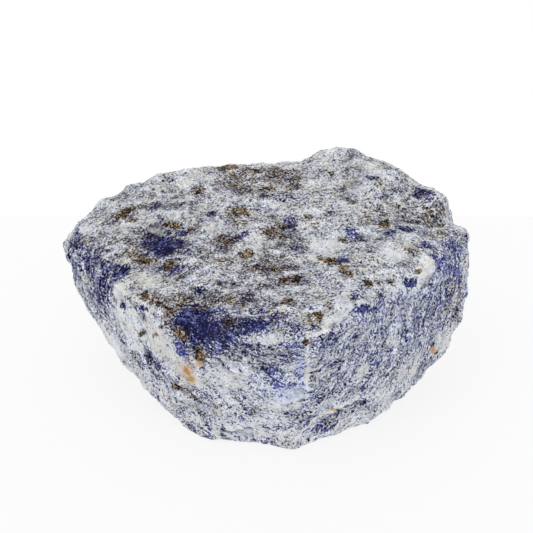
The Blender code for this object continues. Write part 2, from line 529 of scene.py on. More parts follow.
# %% [markdown]
# ## White calcite
#
# Calcite fills the space between the other grains. Where it is nearly pure it makes white and
# cream patches, such as the two smooth lobes at the front rim. They are marks of their own,
# because they don't just lack blue: they are also lighter and calmer than the grey ground.

# %% White patches
PALE_MARKS = [
    (83, 230, 9, 4, 15, 0.6), (121, 228, 18, 5, 5, 0.6), (186, 181, 24, 6, 8, 0.5),
    (213, 226, 12, 7, 0, 0.7), (146, 280, 16, 8, -15, 0.8), (258, 246, 8, 11, 20, 0.3),
    (330, 156, 18, 8, 15, 0.5), (357, 190, 10, 4, 0, 0.6), (324, 246, 19, 8, 0, 0.9),
    (394, 254, 18, 8, -15, 0.75), (425, 269, 8, 13, -10, 1.0), (417, 284, 9, 5, 40, 0.85),
    (345, 306, 11, 17, -20, 0.75), (380, 272, 18, 4, -10, 0.5), (128, 322, 14, 20, 35, 0.85),
    (158, 338, 12, 24, 30, 1.0), (175, 366, 8, 12, 30, 0.9), (119, 292, 7, 9, 10, 0.8),
    (230, 376, 30, 14, -5, 0.66), (268, 341, 12, 5, 5, 0.8), (280, 405, 20, 10, 10, 0.6),
    (294, 400, 12, 9, 0, 0.5), (355, 178, 8, 9, 0, 0.5), (380, 212, 40, 12, 0, 0.15),
    (307, 372, 2, 32, -3, 1.0), (197, 381, 8, 8, 0, 0.8), (443, 338, 9, 12, -40, 0.8),
    (366, 370, 6, 18, -35, 0.6), (300, 434, 9, 2, 45, 1.0), (314, 419, 9, 2, 45, 1.0),
    (328, 411, 10, 2, 25, 1.0), (348, 403, 14, 2, 25, 1.0), (320, 333, 14, 2, 22, 0.9),
    (330, 319, 13, 5, 30, 0.9), (347, 300, 7, 10, -30, 0.9), (160, 405, 20, 5, -45, 0.3),
    (230, 425, 30, 6, -8, 0.6), (108, 345, 8, 26, 25, 0.9), (135, 380, 24, 7, -45, 0.65),
    (166, 222, 13, 5, 0, 0.5), (125, 203, 14, 5, 25, 0.4), (106, 256, 6, 4, 0, 0.7),
    (124, 262, 9, 3, 0, 0.7), (272, 421, 20, 7, 0, 0.6), (325, 431, 26, 5, 25, 0.5),
    (382, 400, 14, 12, 40, 0.7), (330, 405, 14, 8, 40, 0.5), (215, 410, 30, 10, -5, 0.4),
    (185, 400, 14, 8, -30, 0.4), (355, 425, 30, 6, 30, 0.5), (290, 375, 6, 8, 0, 0.8),
    (320, 256, 10, 7, 0, 0.5), (350, 222, 12, 5, 0, 0.4), (290, 162, 10, 4, 0, 0.5),
    (372, 168, 28, 6, -20, 0.65), (400, 286, 16, 5, 0, 0.5), (312, 212, 8, 6, 0, 0.4),
    (345, 205, 14, 6, 0, 0.5), (240, 395, 18, 6, 0, 0.5), (190, 392, 6, 8, 0, 0.3),
    (280, 210, 14, 8, 0, 0.3), (77, 290, 4, 20, 12, 0.3), (265, 440, 40, 6, 0, 0.5),
    (410, 368, 22, 8, 45, 0.6), (235, 402, 20, 6, 0, 0.6), (248, 214, 8, 12, 0, 0.35),
    (170, 214, 16, 5, 0, 0.4), (136, 346, 7, 10, 30, 0.8), (155, 231, 8, 4, -10, 0.8),
    (316, 195, 7, 5, 0, 0.5), (312, 258, 8, 6, 0, 0.6), (267, 227, 7, 5, 0, 0.4),
    (150, 312, 6, 6, 30, 0.8), (396, 340, 7, 7, 45, 0.6), (409, 246, 6, 3, -15, 0.7),
    (274, 243, 7, 5, 0, 0.5), (183, 382, 6, 5, 30, 0.9), (363, 174, 7, 4, 0, 0.6),
    (262, 386, 7, 5, 0, 0.6), (136, 261, 6, 4, 0, 0.5), (398, 220, 7, 4, 0, 0.4),
    (430, 281, 5, 5, 0, 0.4), (160, 352, 4, 7, 30, 0.7), (347, 192, 6, 4, 0, 0.5),
    (344, 408, 8, 4, 25, 0.7), (286, 166, 8, 3, 0, 0.6), (408, 383, 8, 6, 45, 0.6),
    (327, 170, 5, 4, 0, 0.5), (348, 184, 7, 5, 0, 0.6), (279, 300, 7, 4, 0, 0.5),
    (354, 170, 7, 4, 0, 0.5), (201, 207, 7, 4, 0, 0.5), (390, 295, 6, 5, 0, 0.5),
    (305, 440, 7, 4, 20, 0.7), (340, 173, 6, 4, 0, 0.5), (316, 260, 6, 4, 0, 0.6),
    (409, 296, 6, 5, 0, 0.5),
]
PALE_HIDDEN = 0.8

wild_pale = patches(size=7.0, seed=23, octaves=3, border=(0.05, 0.5))
pale = marked(PALE_MARKS, hidden * PALE_HIDDEN * wild_pale)
print("mean share of white:", round(float(pale.mean()), 2))

# %% [markdown]
# ## Blue lazurite
#
# Lazurite gives the rock its worth: navy where the grains lie thick, violet blue where they are
# few. The fresh break of the sides shows more of it than the weathered top. White calcite pushes
# it away, except where the blue is thick itself.

# %% Blue places
BLUE_MARKS = [
    (76, 244, 11, 10, 0, 0.64), (92, 262, 10, 18, -20, 0.67), (100, 288, 9, 20, -15, 0.78),
    (106, 306, 5, 9, -15, 0.6), (121, 271, 11, 7, 10, 0.85), (165, 246, 24, 7, -2, 1.0),
    (166, 243, 20, 5, -2, 0.9), (170, 234, 18, 6, -6, 0.5), (107, 269, 10, 8, 0, 0.74),
    (78, 268, 8, 20, -15, 0.6), (208, 349, 15, 7, 0, 0.62), (345, 326, 12, 5, 30, 0.5),
    (330, 337, 12, 4, 20, 0.52), (170, 270, 16, 7, 0, 0.7), (117, 199, 18, 6, 25, 0.3),
    (172, 180, 6, 3, 0, 0.6), (157, 207, 13, 6, 0, 0.5), (211, 215, 6, 4, 0, 0.75),
    (263, 195, 9, 4, 0, 0.6), (289, 197, 11, 6, 0, 0.55), (289, 222, 9, 7, 0, 0.75),
    (231, 243, 21, 3, 30, 0.7), (262, 271, 22, 7, 0, 0.5), (219, 283, 4, 3, 0, 0.7),
    (203, 290, 7, 4, 0, 0.6), (247, 298, 8, 5, 0, 0.75), (134, 288, 6, 4, 0, 0.5),
    (297, 248, 10, 4, 0, 0.75), (290, 266, 8, 4, 0, 0.6), (345, 171, 7, 3, 0, 0.6),
    (370, 178, 6, 3, 0, 0.7), (339, 189, 6, 4, 0, 0.55), (383, 198, 7, 3, 0, 0.65),
    (422, 195, 11, 7, -20, 0.75), (354, 236, 14, 7, -25, 0.68), (406, 229, 9, 3, -10, 0.75),
    (392, 234, 7, 4, 0, 0.65), (425, 245, 8, 4, 0, 0.7), (453, 250, 12, 14, 0, 0.64),
    (453, 275, 10, 18, 0, 0.6), (343, 260, 7, 4, -10, 0.95), (411, 283, 7, 5, 0, 0.85),
    (357, 295, 7, 4, 0, 0.7), (380, 295, 7, 8, 0, 0.5), (366, 308, 14, 5, 15, 0.8),
    (401, 301, 8, 6, 0, 0.5), (192, 322, 20, 14, -8, 0.95), (215, 332, 26, 14, -8, 0.93),
    (247, 324, 22, 8, -6, 0.85), (205, 312, 22, 6, 0, 0.8), (238, 345, 20, 8, -20, 0.64),
    (180, 345, 10, 12, -30, 0.6), (278, 318, 12, 7, 10, 0.6), (294, 334, 12, 8, 20, 0.5),
    (292, 352, 12, 9, 10, 0.5), (270, 362, 16, 9, -10, 0.46), (276, 375, 11, 8, 0, 0.68),
    (460, 238, 8, 9, 0, 0.5), (300, 366, 5, 14, 10, 0.5), (122, 306, 4, 4, 0, 0.85),
    (143, 309, 6, 3, -15, 0.85), (152, 359, 5, 14, 35, 0.85), (170, 376, 11, 5, -40, 0.45),
    (201, 395, 9, 3, -20, 0.55), (212, 417, 20, 8, -15, 0.56), (323, 345, 16, 9, 25, 0.55),
    (345, 322, 14, 8, 25, 0.45), (437, 304, 16, 14, 50, 0.56), (320, 392, 16, 12, 40, 0.44),
    (360, 350, 26, 10, 50, 0.42), (412, 331, 24, 10, 50, 0.56), (327, 428, 13, 7, 35, 0.68),
    (345, 414, 12, 5, 30, 0.45), (372, 405, 12, 8, 30, 0.55), (424, 364, 8, 7, 50, 0.45),
    (257, 312, 10, 5, 0, 0.6), (435, 257, 4, 8, 0, 0.7), (429, 326, 8, 8, 0, 0.55),
    (196, 340, 8, 7, 0, 0.9), (373, 360, 8, 8, 45, 0.65), (155, 215, 8, 4, 0, 0.5),
    (361, 321, 8, 7, 30, 0.5), (77, 232, 6, 4, 20, 0.8), (442, 261, 6, 8, 0, 0.65),
    (314, 329, 6, 5, 0, 0.6), (151, 383, 6, 6, -45, 0.5), (169, 313, 6, 5, 0, 0.8),
    (380, 333, 8, 7, 40, 0.5), (334, 156, 7, 4, 0, 0.5), (149, 275, 8, 4, 0, 0.6),
    (377, 308, 8, 5, 15, 0.6), (291, 343, 8, 5, 0, 0.55), (397, 189, 7, 4, 0, 0.55),
    (265, 410, 8, 5, 0, 0.5), (295, 326, 8, 5, 0, 0.65), (312, 413, 7, 5, 30, 0.6),
    (184, 232, 7, 4, 0, 0.7), (365, 267, 7, 4, -20, 0.6), (249, 441, 9, 3, 0, 0.5),
    (240, 436, 40, 4, -5, 0.4), (118, 362, 12, 5, -52, 0.5),
]
BLUE_ON_SIDES = 0.42
BLUE_ON_TOP = 0.265
BLUE_HIDDEN = 0.26
BLUE_IN_PATCHES = 0.5
WHITE_PUSHES = 0.8


def grains(marks, on_seen, on_hidden, holds):
    """The thickness of a kind of grain, pushed away by white calcite where it is thin."""
    thickness = marked(marks, seen * on_seen + hidden * on_hidden)
    return thickness * (1.0 - WHITE_PUSHES * pale * (1.0 - s_curve(thickness, *holds)))


wild_blue = patches(size=9.0, seed=21, octaves=3, border=(-0.3, 0.6))
blue = grains(BLUE_MARKS, BLUE_ON_SIDES * (1.0 - facing_up) + BLUE_ON_TOP * facing_up,
              BLUE_HIDDEN + BLUE_IN_PATCHES * wild_blue, holds=(0.5, 0.75))
print("mean share of blue:", round(float(blue.mean()), 2))

# %% [markdown]
# ## Brown grains
#
# The gold specks of fresh lapis are pyrite. On this stone they have rusted to dull brown and
# bronze crumbs, most of them on the weathered top, in level rows along the layers.

# %% Brown places
BROWN_MARKS = [
    (125, 212, 12, 5, 30, 0.96), (131, 220, 6, 3, 10, 0.72), (97, 245, 12, 7, -10, 0.4),
    (119, 262, 11, 7, 0, 0.25), (132, 232, 6, 3, 0, 0.62), (133, 253, 9, 5, 0, 0.77),
    (146, 261, 11, 5, 0, 0.77), (173, 224, 12, 3, -8, 0.82), (192, 229, 5, 4, 0, 0.52),
    (198, 191, 10, 5, 0, 0.62), (153, 196, 7, 4, 0, 0.47), (228, 167, 14, 4, 0, 0.82),
    (245, 183, 34, 13, -5, 0.52), (285, 176, 21, 12, -5, 0.52), (240, 211, 14, 8, 0, 0.67),
    (224, 240, 16, 7, 10, 0.7), (205, 252, 9, 5, 0, 0.52), (248, 253, 10, 5, 0, 0.82),
    (276, 232, 20, 10, 5, 0.62), (271, 266, 27, 10, 0, 0.52), (290, 280, 16, 5, 0, 0.77),
    (171, 265, 10, 7, 0, 0.72), (144, 297, 7, 5, -20, 0.87), (158, 304, 10, 5, -15, 0.68),
    (184, 297, 11, 4, 0, 0.52), (230, 299, 17, 5, 0, 0.52), (289, 303, 9, 4, 0, 0.77),
    (384, 223, 7, 5, 0, 0.96), (366, 221, 11, 5, 10, 0.62), (380, 212, 16, 4, -8, 0.62),
    (434, 213, 17, 5, 0, 0.62), (420, 220, 32, 4, -4, 0.47), (436, 234, 14, 5, -8, 0.62),
    (413, 252, 10, 3, -15, 0.78), (345, 188, 6, 3, 0, 0.35), (331, 173, 4, 3, 0, 0.62),
    (379, 180, 7, 4, -20, 0.57), (353, 203, 5, 3, 0, 0.77), (309, 216, 5, 4, -20, 0.77),
    (316, 226, 5, 3, 20, 0.52), (327, 260, 12, 4, -15, 0.82), (345, 271, 10, 5, -35, 0.77),
    (357, 256, 10, 5, 10, 0.47), (369, 283, 5, 5, 0, 0.98), (379, 282, 5, 4, 0, 0.72),
    (390, 282, 6, 3, -10, 0.72), (418, 271, 5, 3, 15, 0.87), (401, 262, 6, 5, -40, 0.42),
    (310, 319, 9, 7, -20, 0.52), (319, 315, 6, 5, 40, 0.77), (342, 241, 7, 4, -15, 0.62),
    (181, 335, 11, 7, -10, 0.75), (215, 330, 40, 14, -8, 0.25), (200, 355, 6, 7, 0, 0.98),
    (228, 325, 7, 8, 0, 0.42), (259, 345, 4, 4, 0, 0.72), (177, 389, 8, 3, -15, 0.9),
    (194, 397, 10, 2, -32, 0.85), (308, 342, 4, 4, 0, 0.72), (222, 404, 6, 3, 0, 0.52),
    (257, 410, 11, 4, 0, 0.32), (165, 315, 6, 10, 10, 0.62), (388, 347, 20, 8, 45, 0.16),
    (400, 370, 17, 9, 40, 0.32), (452, 300, 7, 25, 0, 0.27), (141, 318, 3, 6, 20, 0.65),
    (155, 334, 3, 3, 0, 1.0), (161, 327, 3, 3, 0, 1.0), (142, 334, 3, 3, 0, 1.0),
    (191, 379, 4, 4, 0, 1.0), (240, 221, 13, 5, 0, 0.6), (171, 311, 9, 6, 0, 0.85),
    (226, 302, 20, 5, 0, 0.6), (163, 300, 10, 5, -20, 0.6), (130, 240, 18, 7, 0, 0.4),
    (285, 183, 26, 6, 0, 0.5), (262, 170, 22, 4, 0, 0.6), (370, 258, 8, 5, 0, 0.4),
    (235, 246, 16, 5, 0, 0.4), (190, 305, 20, 5, -5, 0.5), (300, 240, 10, 8, 0, 0.35),
    (405, 210, 40, 8, 0, 0.4), (210, 262, 14, 5, 0, 0.3), (328, 303, 6, 5, 0, 0.45),
    (222, 261, 8, 5, 0, 0.55), (181, 278, 7, 5, 0, 0.5), (317, 328, 4, 4, 0, 0.6),
    (310, 286, 6, 5, 0, 0.5), (286, 313, 7, 4, 0, 0.5), (330, 305, 6, 6, 0, 0.55),
    (142, 247, 8, 4, 0, 0.5),
]
BROWN_SEEN = 0.08
MORE_BROWN_ON_TOP = 0.085
BROWN_HIDDEN = 0.04
BROWN_IN_PATCHES = 0.35

wild_brown = patches(size=5.0, seed=22, octaves=2, border=(0.0, 0.7))
brown = grains(BROWN_MARKS, BROWN_SEEN + MORE_BROWN_ON_TOP * facing_up,
               BROWN_HIDDEN + BROWN_IN_PATCHES * wild_brown, holds=(0.4, 0.65))
print("mean share of brown:", round(float(brown.mean()), 2))

# %% [markdown]
# ## Bright blue, smoky grey and lit places
#
# Thin blue grains let light through, so they look brighter and more violet than thick ones, and
# tint the calcite round them. The wide bright marks low on the front also stand in for light
# there, as painted light. In other places the calcite is smoky, a dark bluish grey. The lit places
# are
# painted light: faces low on the front and on the right are made lighter. All three only change
# the shade of grains that are there already.

# %% Bright, smoky and lit places
# Thin blue, and painted light as well: the wide marks at 290, 428 and 250, 385 light the lower
# front.
BRIGHT_MARKS = [
    (300, 370, 5, 30, 5, 0.65), (296, 392, 9, 11, 0, 0.6), (278, 371, 11, 13, 0, 0.4),
    (297, 342, 8, 6, 0, 0.5), (437, 262, 5, 16, 0, 0.45), (404, 297, 14, 8, 20, 0.45),
    (386, 302, 10, 6, 0, 0.4), (405, 345, 14, 6, 45, 0.3), (343, 258, 8, 5, 0, 0.3),
    (322, 352, 12, 6, 20, 0.25), (180, 350, 8, 10, 0, 0.45), (310, 398, 5, 8, 0, 0.4),
    (160, 362, 8, 10, 40, 0.3), (283, 394, 13, 15, 0, 0.7), (268, 332, 28, 13, 0, 0.28),
    (355, 318, 14, 8, 20, 0.35), (182, 362, 7, 10, 0, 0.5), (450, 262, 14, 36, 0, 0.28),
    (215, 308, 30, 6, 0, 0.25), (215, 330, 40, 14, -8, 0.22), (385, 340, 75, 40, 40, 0.27),
    (88, 262, 18, 26, 0, 0.16), (290, 428, 45, 12, 8, 0.22), (250, 385, 45, 12, 0, 0.22),
    (345, 306, 12, 17, -20, 0.3),
]
SMOKY_MARKS = [
    (342, 417, 15, 3, 40, 0.5), (145, 266, 45, 20, 0, 0.3), (130, 232, 60, 12, 0, 0.3),
    (165, 212, 30, 7, 0, 0.3), (440, 240, 25, 9, 0, 0.2), (380, 345, 70, 40, 40, 0.14),
    (410, 186, 20, 5, -20, 0.4), (115, 222, 16, 8, 20, 0.7), (165, 252, 28, 4, 0, 0.8),
    (135, 240, 15, 8, 0, 0.5), (218, 222, 25, 9, 0, 0.6), (290, 240, 15, 9, 0, 0.6),
    (205, 296, 24, 8, 0, 0.8), (265, 256, 7, 10, 0, 0.5), (302, 280, 11, 8, 0, 0.7),
    (388, 235, 20, 6, 0, 0.7), (408, 195, 14, 10, 0, 0.2), (262, 170, 18, 6, 0, 0.5),
    (216, 357, 10, 6, 0, 0.7), (265, 303, 28, 5, 0, 0.6), (226, 302, 20, 6, 0, 0.4),
    (250, 285, 40, 14, 0, 0.35), (150, 212, 30, 10, 10, 0.35), (180, 200, 20, 8, 0, 0.3),
    (345, 215, 24, 8, -10, 0.3), (420, 222, 26, 6, -5, 0.45), (440, 202, 8, 10, -40, 0.4),
    (360, 153, 14, 4, -22, 0.9), (130, 196, 20, 6, 30, 0.4), (170, 210, 30, 6, 0, 0.6),
    (232, 252, 14, 5, 0, 0.6), (192, 268, 16, 6, 0, 0.4), (225, 188, 12, 6, 0, 0.5),
    (224, 362, 12, 7, 0, 0.4), (296, 322, 9, 4, 0, 0.6), (160, 300, 14, 8, -20, 0.7),
    (280, 178, 30, 8, 0, 0.5), (217, 324, 35, 14, -6, 0.85), (162, 250, 16, 6, 0, 1.0),
    (141, 319, 4, 9, 20, 0.8), (152, 342, 5, 10, 30, 0.4), (147, 331, 7, 12, 30, 0.3),
    (405, 265, 12, 8, -20, 0.4),
]
# Painted light: these marks only lighten faces, they are no colour of the rock.
LIGHT_MARKS = [
    (390, 350, 75, 45, 40, 0.5), (300, 428, 60, 14, 8, 1.0), (456, 275, 12, 45, 0, 0.9),
    (260, 385, 50, 14, 0, 0.7),
]
BRIGHT_ON_SIDES = 0.14
SMOKY_HIDDEN = 0.5

bright = marked(BRIGHT_MARKS, BRIGHT_ON_SIDES * (1.0 - facing_up))
smoke = marked(SMOKY_MARKS, hidden * SMOKY_HIDDEN * wild_brown)
light = marked(LIGHT_MARKS, np.zeros(len(points)))
print("mean share of bright blue:", round(float(bright.mean()), 2),
      "of smoky grey:", round(float(smoke.mean()), 2))

# %% [markdown]
# ## Streaks and rust
#
# On the sides, and in two places of the top, the clumps of grains are drawn out to long thin
# streaks along the layers. A few orange stains mark where iron has run out of the brown grains.

# %% Streaks and rust
STREAK_MARKS = [
    (405, 210, 60, 18, 5, 0.9), (400, 255, 30, 12, -20, 0.7),
]
RUST_MARKS = [
    (187, 370, 4, 7, 35, 1.0), (156, 336, 12, 28, 30, 0.14), (186, 372, 9, 14, 35, 0.4),
    (199, 363, 4, 3, 0, 0.6), (335, 409, 4, 2, -20, 0.9), (433, 351, 4, 3, 40, 0.8),
    (146, 326, 5, 14, 10, 0.12), (192, 380, 5, 6, 0, 0.45), (355, 256, 5, 3, 0, 0.25),
]
STREAKS_ON_TOP = 0.15
STREAKS_ON_SIDES = 0.85

streaks = marked(STREAK_MARKS, STREAKS_ON_TOP + STREAKS_ON_SIDES * (1.0 - facing_up))
rust = marked(RUST_MARKS, np.zeros(len(points)))
print("mean share of streaks:", round(float(streaks.mean()), 2),
      "of rust:", round(float(rust.mean()), 3))

# %% [markdown]
# ## Edges and crevices: painted shade and highlight
#
# Light from all sides hardly reaches a crevice and plays on an edge, so the tone of the rock is
# darkened in cracks as painted shade, with a little dirt, and lightened on crests and the edges of
# steps as painted highlight. A shader can find both, but only one mesh face wide. Here the stone
# is smoothed for some rounds, and how far a point sinks is how far it stood out. A few rounds find
# the cracks between grains, and many find the edges of the steps.

# %% How far each point stands out
EDGE_ROUNDS = 30
CREVICE_ROUNDS = 5
STAY = 0.5


def convexity(moved, rounds):
    """How far each moved point stands out from the mean of its surroundings, in millimetres."""
    edges = np.empty(len(stone_mesh.edges) * 2, dtype=np.int64)
    stone_mesh.edges.foreach_get("vertices", edges)
    start, end = edges.reshape(-1, 2).T
    count = np.bincount(start, minlength=len(points)) + np.bincount(end, minlength=len(points))
    smooth = points + normals * moved[:, None]
    before = smooth.copy()
    for _ in range(rounds):
        total = np.stack([np.bincount(start, smooth[end, axis], len(points))
                          + np.bincount(end, smooth[start, axis], len(points))
                          for axis in range(3)], axis=1)
        smooth = STAY * smooth + (1.0 - STAY) * total / count[:, None]
    return ((before - smooth) * normals).sum(axis=1)


stands_out = convexity(steps, EDGE_ROUNDS)
painted_crack_shade_and_crest_highlight = convexity(relief, CREVICE_ROUNDS)
tell("steps stand out, mm:", stands_out)
tell("grains stand out, mm:", painted_crack_shade_and_crest_highlight)

# %% [markdown]
# ## Tone of the rock
#
# The tone says how light or dark the rock is at each point. Each line is one reason for it to be
# lighter (above nought) or darker (below nought), as a share of the range from dark to white. The
# step edges, the cracks and crests, the sides and the lit places are painted light and shade.

# %% Tone
DRIFT_SIZE = 2.6
DRIFT_SQUEEZE = (1, 1, 1.4)

drift = noise_at(layered * DRIFT_SQUEEZE, DRIFT_SIZE, seed=25, octaves=2)
tone_parts = {
    "ground": 0.067,
    "white calcite": 0.17 * pale,
    "among other grains": -0.17 * np.clip(blue + brown - 0.15, 0.0, 1.0),
    "smoky calcite": -0.3 * smoke,
    # Painted shade and highlight: darker in cracks and at the foot of steps, lighter on crests and
    # step edges.
    "painted shade and highlight at step edges": 0.6 * np.clip(stands_out, -0.15, 0.25),
    "painted_crack_shade_and_crest_highlight": 1.8 * np.clip(painted_crack_shade_and_crest_highlight, -0.14, 0.18 - 0.08 * facing_up),
    # Painted light: the photographed sides, which get less light than the top, are made a little
    # lighter.
    "painted light on the sides": 0.05 * seen * (1.0 - facing_up),
    "lit places": 0.14 * light,
    "drift": 0.14 * drift,
}
tone = sum(tone_parts.values())
for reason, part in tone_parts.items():
    tell("tone, " + reason, part)

# %% [markdown]
# ## The finished mesh
#
# Every point moves along its normal by the relief, because displacement in a material would only
# show in the render. The colour measures go along as attributes, which the material reads. Dense
# blue spots are soft, so they lie a little lower.

# %% Stone
BLUE_SINK = 0.12
SINKING_BLUE = (0.5, 1.0)


def add_attribute(mesh, name, values, kind="FLOAT"):
    """Keeps a measure on the points of the mesh, for the material to read."""
    layer = mesh.attributes.new(name, kind, "POINT")
    layer.data.foreach_set("value" if kind == "FLOAT" else "vector",
                           np.ascontiguousarray(values, dtype=np.float32).ravel())


relief = relief - BLUE_SINK * s_curve(blue, *SINKING_BLUE) * on_floor
finished = (points + outline_move + normals * relief[:, None]) * MM
finished[:, 2] = np.maximum(finished[:, 2], 0.0)
stone_mesh.vertices.foreach_set("co", finished.ravel())
shares = {"blue": blue, "brown": brown, "pale": pale, "bright": bright, "rust": rust,
          "tone": tone, "streaks": streaks}
for name, values in shares.items():
    add_attribute(stone_mesh, name, values)
add_attribute(stone_mesh, "layered", layered, "FLOAT_VECTOR")
stone_mesh.materials.clear()
stone_mesh.update()
stone_mesh.shade_smooth()
stone = bpy.data.objects.new("broken_lapis", stone_mesh)
bpy.context.scene.collection.objects.link(stone)
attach(stone, "root")
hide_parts("lapis_stone")
print("triangles of the stone:", 2 * len(stone_mesh.polygons))

# %% [markdown]
# ## The rock material
#
# A material is a tree of nodes. One small function adds a node with its settings, its inputs and,
# for a colour ramp, its stops. An input is a value or another node. Another function turns a hex
# colour, as a paint program shows it, to Blender's linear values.

# %% Helpers for the material
rock = bpy.data.materials.new("broken_lapis_rock")
rock.use_nodes = True
shader = rock.node_tree.nodes["Principled BSDF"]


def linear(hex_colour):
    """A linear colour from an sRGB hex value such as "D9DCE3"."""
    shares = [int(hex_colour[i:i + 2], 16) / 255 for i in (0, 2, 4)]
    return (*[share / 12.92 if share <= 0.04045 else ((share + 0.055) / 1.055) ** 2.4
              for share in shares], 1.0)


def add_node(kind, inputs, stops=(), **settings):
    """Adds a node to the rock. A node given as an input is linked by its first output."""
    node = rock.node_tree.nodes.new("ShaderNode" + kind)
    for name, value in settings.items():
        setattr(node, name, value)
    for socket, value in inputs.items():
        if isinstance(value, bpy.types.Node):
            value = value.outputs[0]
        if isinstance(value, bpy.types.NodeSocket):
            rock.node_tree.links.new(value, node.inputs[socket])
        else:
            node.inputs[socket].default_value = value
    for _ in stops[2:]:
        node.color_ramp.elements.new(0.5)
    for index, (position, stop_colour) in enumerate(stops):
        node.color_ramp.elements[index].position = position
        node.color_ramp.elements[index].color = linear(stop_colour)
    return node


share_of = {name: add_node("Attribute", {}, attribute_name=name).outputs["Fac"]
            for name in shares}
place = add_node("Attribute", {}, attribute_name="layered").outputs["Vector"]
print("measures that the material reads:", ", ".join(share_of))

# %% [markdown]
# The grains of lapis rock are 0.2 to 0.5 mm wide, two or three pixels of the picture. They are too
# many to list, so noise places them. A grain of a kind shows where a hurdle of noise stays below
# the thickness of that kind on the mesh. The hurdle has three parts: clumps of about 2 mm that run
# along the layers, fine grains, and small cells. Each cell also has a number of its own, which
# makes single grains all light or all dark.

# %% Hurdle of noise
CLUMP_SIZE = 2.2
GRAIN_SIZE_SEEN = 0.32
CELL_SIZE = 0.2
CLUMP_SHARE = 1.9
GRAIN_SHARE = 1.3
CELL_SHARE = 0.5
CLUMP_STRETCH = 1.5
STREAK_STRETCH = 4.5
GRAIN_STRETCH = 1.3
GRAIN_BORDER = 0.08


def centred(value, share):
    """How far a value is from a half, times a share."""
    from_half = add_node("Math", {0: value, 1: 0.5}, operation="SUBTRACT")
    return add_node("Math", {0: from_half, 1: share}, operation="MULTIPLY")


def squeezed_place(stretch, shift):
    """The place along and across the layers, squeezed across them and moved by a shift."""
    return add_node("VectorMath", {0: place, 1: (1.0, 1.0, stretch), 2: shift},
                    operation="MULTIPLY_ADD")


def hurdle_of_noise(shift):
    """Noise about a half, made of clumps, fine grains and cells, and a chance value per cell."""
    clump, streak = [
        add_node("TexNoise", {"Vector": squeezed_place(stretch, shift),
                              "Scale": 1.0 / CLUMP_SIZE, "Detail": 5.0,
                              "Roughness": 0.72})
        for stretch in (CLUMP_STRETCH, STREAK_STRETCH)]
    clump = add_node("Mix", {"Factor": share_of["streaks"], 2: clump, 3: streak})
    grain_place = squeezed_place(GRAIN_STRETCH, shift)
    grain = add_node("TexNoise", {"Vector": grain_place,
                                  "Scale": 1.0 / GRAIN_SIZE_SEEN, "Detail": 1.0})
    cell = add_node("TexVoronoi", {"Vector": grain_place, "Scale": 1.0 / CELL_SIZE})
    chance = add_node("SeparateColor", {"Color": cell.outputs["Color"]})
    total = centred(clump, CLUMP_SHARE)
    for part in (centred(grain, GRAIN_SHARE), centred(chance.outputs["Red"], CELL_SHARE), 0.5):
        total = add_node("Math", {0: total, 1: part}, operation="ADD")
    return total, chance.outputs["Green"]


def shown_where(thickness, hurdle):
    """One where the thickness clears the hurdle, nought where it doesn't."""
    above = add_node("Math", {0: thickness, 1: hurdle}, operation="SUBTRACT")
    return add_node("MapRange", {"Value": above, "From Min": -GRAIN_BORDER,
                                 "From Max": GRAIN_BORDER})


rock_noise, _ = hurdle_of_noise((5.0, -7.0, 3.0))
print("nodes so far, with one hurdle of noise:", len(rock.node_tree.nodes))

# %% [markdown]
# Calcite is a grey and white ground, from dark smoky grains to nearly white ones. One colour ramp
# takes its shade from noise, raised or lowered by the tone on the mesh, with the painted light and
# shade that the tone holds. Pure white patches are calmer, so the noise swings less there.

# %% Calcite ground
CALCITE = [(0.0, "4B4A58"), (0.2, "80808D"), (0.38, "A8AAB5"), (0.58, "C9CED7"),
           (0.88, "E1E5EB"), (1.0, "ECEFF4")]
CALM_OF_WHITE = 0.55

calmed = add_node("Math", {0: share_of["pale"], 1: CALM_OF_WHITE}, operation="MULTIPLY")
swing = add_node("Math", {0: 1.0, 1: calmed}, operation="SUBTRACT")
shade = add_node("Math", {0: rock_noise, 1: 0.5}, operation="SUBTRACT")
shade = add_node("Math", {0: shade, 1: swing}, operation="MULTIPLY")
level = add_node("Math", {0: share_of["tone"], 1: 0.5}, operation="ADD")
shade = add_node("Math", {0: shade, 1: level}, operation="ADD")
calcite = add_node("ValToRGB", {"Fac": shade}, stops=CALCITE)
print("shades of calcite:", len(CALCITE))

# %% [markdown]
# Three thin tints keep the calcite from looking like plain grey paint: cream in patches of about
# 5 mm, where it is nearly pure, a warm breath over every second clump, and a blue cast where thin
# lazurite shines through, which low on the front is partly painted light. Each tint is mixed in by
# its own share.

# %% Tints of the calcite
CALCITE_CREAM = "D6D0C2"
CREAM_SIZE = 5.0
CREAM_BORDER = [(0.4, "000000"), (0.65, "FFFFFF")]
CREAM_MOST = 0.3
WARM_TINT = "F4F0E0"
WARM_SIZE = 2.5
CALCITE_BLUE = "B2C1EE"
BLUE_MOST = 0.45

